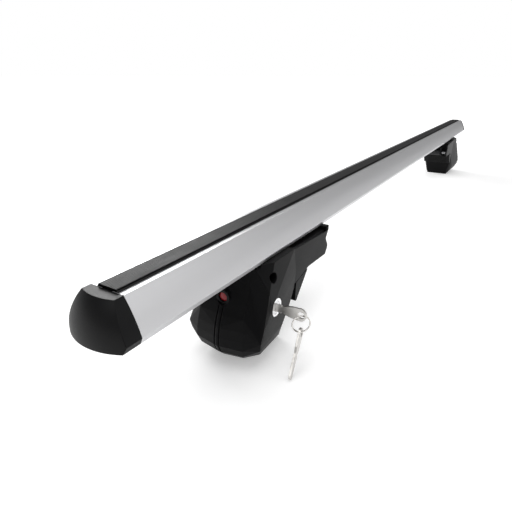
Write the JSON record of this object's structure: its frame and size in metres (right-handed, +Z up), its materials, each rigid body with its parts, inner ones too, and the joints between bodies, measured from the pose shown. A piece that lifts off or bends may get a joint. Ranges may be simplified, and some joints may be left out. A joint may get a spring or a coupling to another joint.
{
  "type": "roof rack crossbar",
  "caption": "Aluminium roof rack crossbar with a rubber load strip, end caps and lockable clamping feet that grip a vehicle's raised side rails; keys on a ring.",
  "frame": {"origin": "centre of the rubber load strip's top face", "axes": "+X along the bar towards the foot without keys, +Z up, +Y across the bar, away from the locks' side of the left foot"},
  "size_m": [1.2102, 0.1006, 0.1161],
  "materials": {
    "aluminium_bar": "clear anodised, brushed along its length",
    "strip_rubber": "matt extruded rubber",
    "cap_plastic": "black, fine grain",
    "foot_plastic": "black, fine grain",
    "cover_plastic": "black, satin grain",
    "button_plastic": "glossy red",
    "pad_rubber": "matt moulded rubber",
    "zinc_steel": "black zinc-nickel plated",
    "claw_steel": "black powder coat",
    "pin_steel": "ground",
    "brass_pad": "turned",
    "lock_chrome": "polished",
    "lock_steel": "satin",
    "key_metal": "nickel plated, lightly worn",
    "ring_wire": "bright wire"
  },
  "bodies": {
    "bar": {"bar_profile": "aluminium_bar", "load_strip": "strip_rubber", "end_cap_left": "cap_plastic", "end_cap_right": "cap_plastic"},
    "foot_left": {"foot_body_left": "foot_plastic", "saddle_pad_left": "pad_rubber", "slot_nut_left": "zinc_steel", "slot_bolt_left": "zinc_steel", "bolt_washer_left": "zinc_steel", "clamp_nut_left": "zinc_steel", "jaw_pin_left": "pin_steel", "rail_pads_left": "pad_rubber", "claw_pin_left": "pin_steel", "lock_barrel_left": "lock_chrome"},
    "cover_left": {"cover_left": "cover_plastic"},
    "button_left": {"red_button_left": "button_plastic"},
    "thrust_left": {"thrust_pad_left": "brass_pad"},
    "screw_left": {"clamp_screw_left": "zinc_steel"},
    "jaw_left": {"jaw_left": "foot_plastic", "jaw_grip_left": "pad_rubber"},
    "claw_left": {"claw_left": "claw_steel", "claw_grip_left": "pad_rubber"},
    "lock_left": {"lock_plug_left": "lock_steel", "lock_cam_left": "zinc_steel", "lock_key": "key_metal"},
    "foot_right": {"foot_body_right": "foot_plastic", "saddle_pad_right": "pad_rubber", "slot_nut_right": "zinc_steel", "slot_bolt_right": "zinc_steel", "bolt_washer_right": "zinc_steel", "clamp_nut_right": "zinc_steel", "jaw_pin_right": "pin_steel", "rail_pads_right": "pad_rubber", "claw_pin_right": "pin_steel", "lock_barrel_right": "lock_chrome"},
    "cover_right": {"cover_right": "cover_plastic"},
    "button_right": {"red_button_right": "button_plastic"},
    "thrust_right": {"thrust_pad_right": "brass_pad"},
    "screw_right": {"clamp_screw_right": "zinc_steel"},
    "jaw_right": {"jaw_right": "foot_plastic", "jaw_grip_right": "pad_rubber"},
    "claw_right": {"claw_right": "claw_steel", "claw_grip_right": "pad_rubber"},
    "lock_right": {"lock_plug_right": "lock_steel", "lock_cam_right": "zinc_steel"},
    "ring": {"key_ring": "ring_wire"},
    "spare": {"spare_key": "key_metal"}
  },
  "joints": [
    {"name": "foot_slide_left", "type": "slide", "parent": "bar", "child": "foot_left", "axis": [1, 0, 0], "range_m": [-0.06, 0.25]},
    {"name": "cover_pull_left", "type": "slide", "parent": "foot_left", "child": "cover_left", "axis": [-1, 0, 0], "range_m": [0, 0.045]},
    {"name": "button_press_left", "type": "slide", "parent": "cover_left", "child": "button_left", "axis": [1, 0, 0], "range_m": [0, 0.0025], "stiffness_N_per_m": 400},
    {"name": "thrust_travel_left", "type": "slide", "parent": "foot_left", "child": "thrust_left", "axis": [1, 0, 0], "range_m": [0, 0.0031]},
    {"name": "screw_turn_left", "type": "hinge", "parent": "thrust_left", "child": "screw_left", "pos_m": [-0.468, 0, -0.0761], "axis": [1, 0, 0], "range_deg": [0, 898.2]},
    {"name": "jaw_swing_left", "type": "hinge", "parent": "foot_left", "child": "jaw_left", "pos_m": [-0.3875, 0, -0.0574], "axis": [0, -1, 0], "range_deg": [0, 9.55]},
    {"name": "claw_swing_left", "type": "hinge", "parent": "foot_left", "child": "claw_left", "pos_m": [-0.3415, 0, -0.0523], "axis": [0, -1, 0], "range_deg": [0, 90]},
    {"name": "lock_turn_left", "type": "hinge", "parent": "foot_left", "child": "lock_left", "pos_m": [-0.4485, -0.0336, -0.0701], "axis": [0, 1, 0], "range_deg": [0, 90]},
    {"name": "foot_slide_right", "type": "slide", "parent": "bar", "child": "foot_right", "axis": [-1, 0, 0], "range_m": [-0.06, 0.25]},
    {"name": "cover_pull_right", "type": "slide", "parent": "foot_right", "child": "cover_right", "axis": [1, 0, 0], "range_m": [0, 0.045]},
    {"name": "button_press_right", "type": "slide", "parent": "cover_right", "child": "button_right", "axis": [-1, 0, 0], "range_m": [0, 0.0025], "stiffness_N_per_m": 400},
    {"name": "thrust_travel_right", "type": "slide", "parent": "foot_right", "child": "thrust_right", "axis": [-1, 0, 0], "range_m": [0, 0.0031]},
    {"name": "screw_turn_right", "type": "hinge", "parent": "thrust_right", "child": "screw_right", "pos_m": [0.468, 0, -0.0761], "axis": [-1, 0, 0], "range_deg": [0, 898.2]},
    {"name": "jaw_swing_right", "type": "hinge", "parent": "foot_right", "child": "jaw_right", "pos_m": [0.3875, 0, -0.0574], "axis": [0, 1, 0], "range_deg": [0, 9.55]},
    {"name": "claw_swing_right", "type": "hinge", "parent": "foot_right", "child": "claw_right", "pos_m": [0.3415, 0, -0.0523], "axis": [0, 1, 0], "range_deg": [0, 90]},
    {"name": "lock_turn_right", "type": "hinge", "parent": "foot_right", "child": "lock_right", "pos_m": [0.4485, 0.0336, -0.0701], "axis": [0, -1, 0], "range_deg": [0, 90]},
    {"name": "ring_swing", "type": "hinge", "parent": "lock_left", "child": "ring", "pos_m": [-0.4485, -0.057, -0.07095], "axis": [-1, 0, 0], "range_deg": [0, 30]},
    {"name": "spare_swing", "type": "hinge", "parent": "ring", "child": "spare", "pos_m": [-0.4485, -0.057, -0.08615], "axis": [-0.1736, 0.9848, 0], "range_deg": [0, 35]}
  ],
  "couplings": [
    {"joint": "screw_turn_left", "follows": "thrust_travel_left", "rad_per_m": 5026.5},
    {"joint": "jaw_swing_left", "follows": "thrust_travel_left", "rad_per_m": 53.487},
    {"joint": "screw_turn_right", "follows": "thrust_travel_right", "rad_per_m": 5026.5},
    {"joint": "jaw_swing_right", "follows": "thrust_travel_right", "rad_per_m": 53.487}
  ]
}
